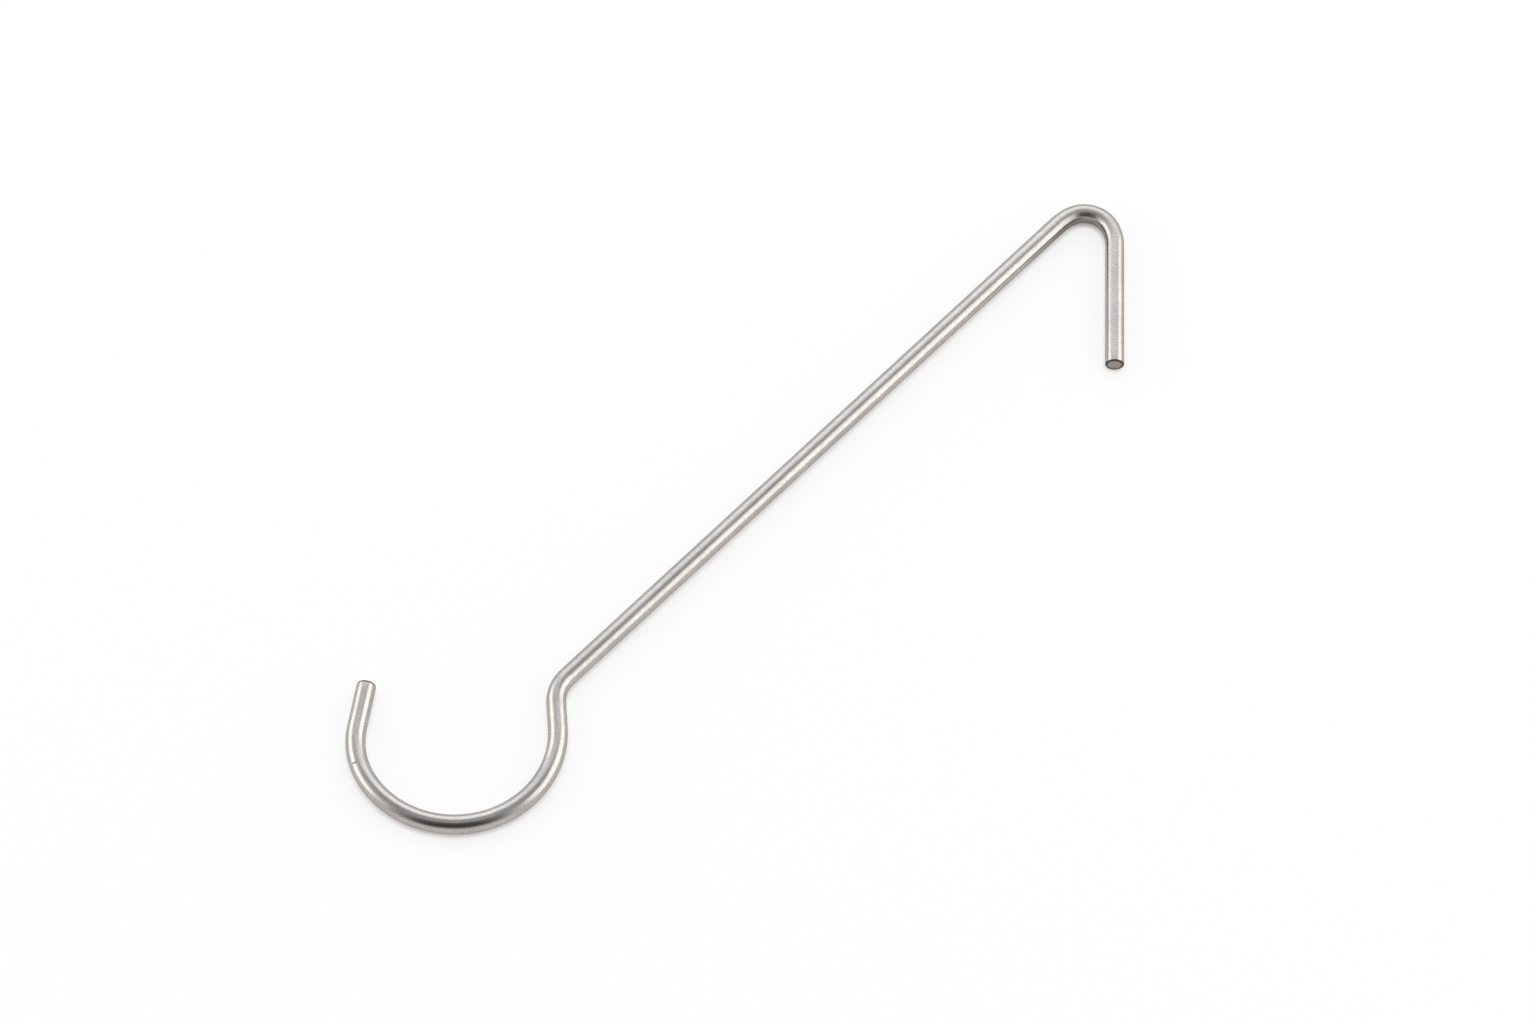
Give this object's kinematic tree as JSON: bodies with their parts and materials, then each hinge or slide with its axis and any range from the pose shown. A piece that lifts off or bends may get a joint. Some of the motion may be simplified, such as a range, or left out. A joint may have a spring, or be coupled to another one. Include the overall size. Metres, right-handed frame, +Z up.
{
  "type": "sky hook",
  "caption": "Long hook bent from one round stainless bar: a sharp bend and short leg drop over a rail or limb, and a large round hook at the other end holds the load.",
  "frame": {"origin": "on the surface that the hook lies on, under the middle of its bounding box", "axes": "+X along the straight shank, from the round hook to the crown bend; +Z up, square to the plane that the bar is bent in"},
  "size_m": [0.3112, 0.0942, 0.006],
  "materials": {
    "hook_rod": "satin-ground stainless steel"
  },
  "bodies": {
    "root": {"hook_rod": "hook_rod"}
  },
  "joints": []
}
